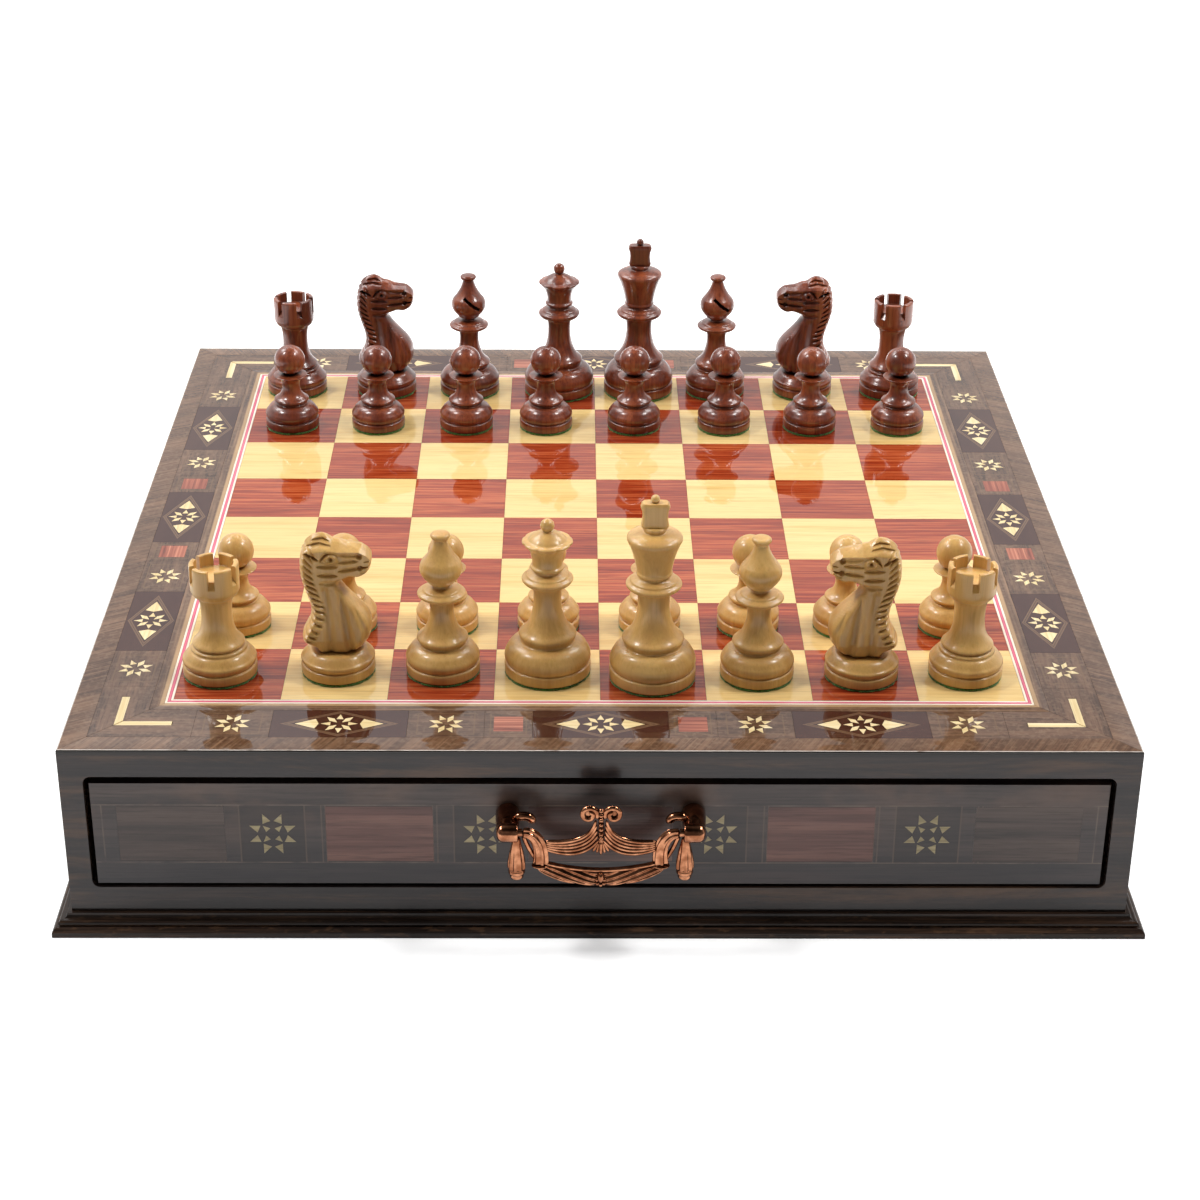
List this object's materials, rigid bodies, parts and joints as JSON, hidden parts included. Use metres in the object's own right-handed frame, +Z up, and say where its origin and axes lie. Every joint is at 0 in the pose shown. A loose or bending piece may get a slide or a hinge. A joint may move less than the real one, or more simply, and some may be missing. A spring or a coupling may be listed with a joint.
{
  "type": "chess box with drawers",
  "caption": "Square game box with an inlaid playing board on top, a drawer with a swinging bail handle at front and back, and turned and carved chessmen that lift off.",
  "frame": {"origin": "middle of the underside of the case", "axes": "+Z up, -Y towards the front drawer and the player of the light men, +X to that player's right"},
  "size_m": [0.414, 0.4332, 0.1558],
  "materials": {
    "walnut": "gloss lacquer",
    "dark_walnut": "gloss lacquer",
    "brown_walnut": "gloss lacquer",
    "maple": "gloss lacquer",
    "padauk": "gloss lacquer",
    "plywood": "plain",
    "copper": "antique copper plate",
    "boxwood": "satin wax",
    "rosewood": "polished"
  },
  "bodies": {
    "case": {"base_panel": "plywood", "side_walls": "walnut", "front_frame": "walnut", "rear_frame": "walnut", "partition": "plywood", "drawer_guides": "plywood", "top_core": "plywood", "light_squares": "maple", "dark_squares": "padauk", "stringing": "maple", "border_strips": "brown_walnut", "border_tiles": "dark_walnut", "border_inlays": "maple", "base_moulding": "walnut"},
    "front_drawer": {"front_drawer_face": "dark_walnut", "front_drawer_inlay": "maple", "front_drawer_walls": "plywood", "front_drawer_bottom": "plywood", "front_drawer_dividers": "maple", "front_handle_posts": "copper"},
    "front_bail": {"front_handle_bail": "copper"},
    "rear_drawer": {"rear_drawer_face": "dark_walnut", "rear_drawer_inlay": "maple", "rear_drawer_walls": "plywood", "rear_drawer_bottom": "plywood", "rear_drawer_dividers": "maple", "rear_handle_posts": "copper"},
    "rear_bail": {"rear_handle_bail": "copper"},
    "white_rook_a": {"white_rook_a": "boxwood"},
    "white_knight_b": {"white_knight_b": "boxwood"},
    "white_bishop_c": {"white_bishop_c": "boxwood"},
    "white_queen": {"white_queen": "boxwood"},
    "white_king": {"white_king": "boxwood"},
    "white_bishop_f": {"white_bishop_f": "boxwood"},
    "white_knight_g": {"white_knight_g": "boxwood"},
    "white_rook_h": {"white_rook_h": "boxwood"},
    "white_pawn_a": {"white_pawn_a": "boxwood"},
    "white_pawn_b": {"white_pawn_b": "boxwood"},
    "white_pawn_c": {"white_pawn_c": "boxwood"},
    "white_pawn_d": {"white_pawn_d": "boxwood"},
    "white_pawn_e": {"white_pawn_e": "boxwood"},
    "white_pawn_f": {"white_pawn_f": "boxwood"},
    "white_pawn_g": {"white_pawn_g": "boxwood"},
    "white_pawn_h": {"white_pawn_h": "boxwood"},
    "dark_rook_a": {"dark_rook_a": "rosewood"},
    "dark_knight_b": {"dark_knight_b": "rosewood"},
    "dark_bishop_c": {"dark_bishop_c": "rosewood"},
    "dark_queen": {"dark_queen": "rosewood"},
    "dark_king": {"dark_king": "rosewood"},
    "dark_bishop_f": {"dark_bishop_f": "rosewood"},
    "dark_knight_g": {"dark_knight_g": "rosewood"},
    "dark_rook_h": {"dark_rook_h": "rosewood"},
    "dark_pawn_a": {"dark_pawn_a": "rosewood"},
    "dark_pawn_b": {"dark_pawn_b": "rosewood"},
    "dark_pawn_c": {"dark_pawn_c": "rosewood"},
    "dark_pawn_d": {"dark_pawn_d": "rosewood"},
    "dark_pawn_e": {"dark_pawn_e": "rosewood"},
    "dark_pawn_f": {"dark_pawn_f": "rosewood"},
    "dark_pawn_g": {"dark_pawn_g": "rosewood"},
    "dark_pawn_h": {"dark_pawn_h": "rosewood"}
  },
  "joints": [
    {"name": "bail_front", "type": "hinge", "parent": "front_drawer", "child": "front_bail", "pos_m": [0, -0.213, 0.0511], "axis": [-1, 0, 0], "range_deg": [-33, 90]},
    {"name": "bail_rear", "type": "hinge", "parent": "rear_drawer", "child": "rear_bail", "pos_m": [0, 0.213, 0.0511], "axis": [1, 0, 0], "range_deg": [-33, 90]},
    {"name": "drawer_front", "type": "slide", "parent": "case", "child": "front_drawer", "axis": [0, -1, 0], "range_m": [0, 0.15]},
    {"name": "drawer_rear", "type": "slide", "parent": "case", "child": "rear_drawer", "axis": [0, 1, 0], "range_m": [0, 0.15]},
    {"name": "lift_white_rook_a", "type": "slide", "parent": "case", "child": "white_rook_a", "axis": [0, 0, 1], "range_m": [0, 0.12]},
    {"name": "lift_white_knight_b", "type": "slide", "parent": "case", "child": "white_knight_b", "axis": [0, 0, 1], "range_m": [0, 0.12]},
    {"name": "lift_white_bishop_c", "type": "slide", "parent": "case", "child": "white_bishop_c", "axis": [0, 0, 1], "range_m": [0, 0.12]},
    {"name": "lift_white_queen", "type": "slide", "parent": "case", "child": "white_queen", "axis": [0, 0, 1], "range_m": [0, 0.12]},
    {"name": "lift_white_king", "type": "slide", "parent": "case", "child": "white_king", "axis": [0, 0, 1], "range_m": [0, 0.12]},
    {"name": "lift_white_bishop_f", "type": "slide", "parent": "case", "child": "white_bishop_f", "axis": [0, 0, 1], "range_m": [0, 0.12]},
    {"name": "lift_white_knight_g", "type": "slide", "parent": "case", "child": "white_knight_g", "axis": [0, 0, 1], "range_m": [0, 0.12]},
    {"name": "lift_white_rook_h", "type": "slide", "parent": "case", "child": "white_rook_h", "axis": [0, 0, 1], "range_m": [0, 0.12]},
    {"name": "lift_white_pawn_a", "type": "slide", "parent": "case", "child": "white_pawn_a", "axis": [0, 0, 1], "range_m": [0, 0.12]},
    {"name": "lift_white_pawn_b", "type": "slide", "parent": "case", "child": "white_pawn_b", "axis": [0, 0, 1], "range_m": [0, 0.12]},
    {"name": "lift_white_pawn_c", "type": "slide", "parent": "case", "child": "white_pawn_c", "axis": [0, 0, 1], "range_m": [0, 0.12]},
    {"name": "lift_white_pawn_d", "type": "slide", "parent": "case", "child": "white_pawn_d", "axis": [0, 0, 1], "range_m": [0, 0.12]},
    {"name": "lift_white_pawn_e", "type": "slide", "parent": "case", "child": "white_pawn_e", "axis": [0, 0, 1], "range_m": [0, 0.12]},
    {"name": "lift_white_pawn_f", "type": "slide", "parent": "case", "child": "white_pawn_f", "axis": [0, 0, 1], "range_m": [0, 0.12]},
    {"name": "lift_white_pawn_g", "type": "slide", "parent": "case", "child": "white_pawn_g", "axis": [0, 0, 1], "range_m": [0, 0.12]},
    {"name": "lift_white_pawn_h", "type": "slide", "parent": "case", "child": "white_pawn_h", "axis": [0, 0, 1], "range_m": [0, 0.12]},
    {"name": "lift_dark_rook_a", "type": "slide", "parent": "case", "child": "dark_rook_a", "axis": [0, 0, 1], "range_m": [0, 0.12]},
    {"name": "lift_dark_knight_b", "type": "slide", "parent": "case", "child": "dark_knight_b", "axis": [0, 0, 1], "range_m": [0, 0.12]},
    {"name": "lift_dark_bishop_c", "type": "slide", "parent": "case", "child": "dark_bishop_c", "axis": [0, 0, 1], "range_m": [0, 0.12]},
    {"name": "lift_dark_queen", "type": "slide", "parent": "case", "child": "dark_queen", "axis": [0, 0, 1], "range_m": [0, 0.12]},
    {"name": "lift_dark_king", "type": "slide", "parent": "case", "child": "dark_king", "axis": [0, 0, 1], "range_m": [0, 0.12]},
    {"name": "lift_dark_bishop_f", "type": "slide", "parent": "case", "child": "dark_bishop_f", "axis": [0, 0, 1], "range_m": [0, 0.12]},
    {"name": "lift_dark_knight_g", "type": "slide", "parent": "case", "child": "dark_knight_g", "axis": [0, 0, 1], "range_m": [0, 0.12]},
    {"name": "lift_dark_rook_h", "type": "slide", "parent": "case", "child": "dark_rook_h", "axis": [0, 0, 1], "range_m": [0, 0.12]},
    {"name": "lift_dark_pawn_a", "type": "slide", "parent": "case", "child": "dark_pawn_a", "axis": [0, 0, 1], "range_m": [0, 0.12]},
    {"name": "lift_dark_pawn_b", "type": "slide", "parent": "case", "child": "dark_pawn_b", "axis": [0, 0, 1], "range_m": [0, 0.12]},
    {"name": "lift_dark_pawn_c", "type": "slide", "parent": "case", "child": "dark_pawn_c", "axis": [0, 0, 1], "range_m": [0, 0.12]},
    {"name": "lift_dark_pawn_d", "type": "slide", "parent": "case", "child": "dark_pawn_d", "axis": [0, 0, 1], "range_m": [0, 0.12]},
    {"name": "lift_dark_pawn_e", "type": "slide", "parent": "case", "child": "dark_pawn_e", "axis": [0, 0, 1], "range_m": [0, 0.12]},
    {"name": "lift_dark_pawn_f", "type": "slide", "parent": "case", "child": "dark_pawn_f", "axis": [0, 0, 1], "range_m": [0, 0.12]},
    {"name": "lift_dark_pawn_g", "type": "slide", "parent": "case", "child": "dark_pawn_g", "axis": [0, 0, 1], "range_m": [0, 0.12]},
    {"name": "lift_dark_pawn_h", "type": "slide", "parent": "case", "child": "dark_pawn_h", "axis": [0, 0, 1], "range_m": [0, 0.12]}
  ]
}
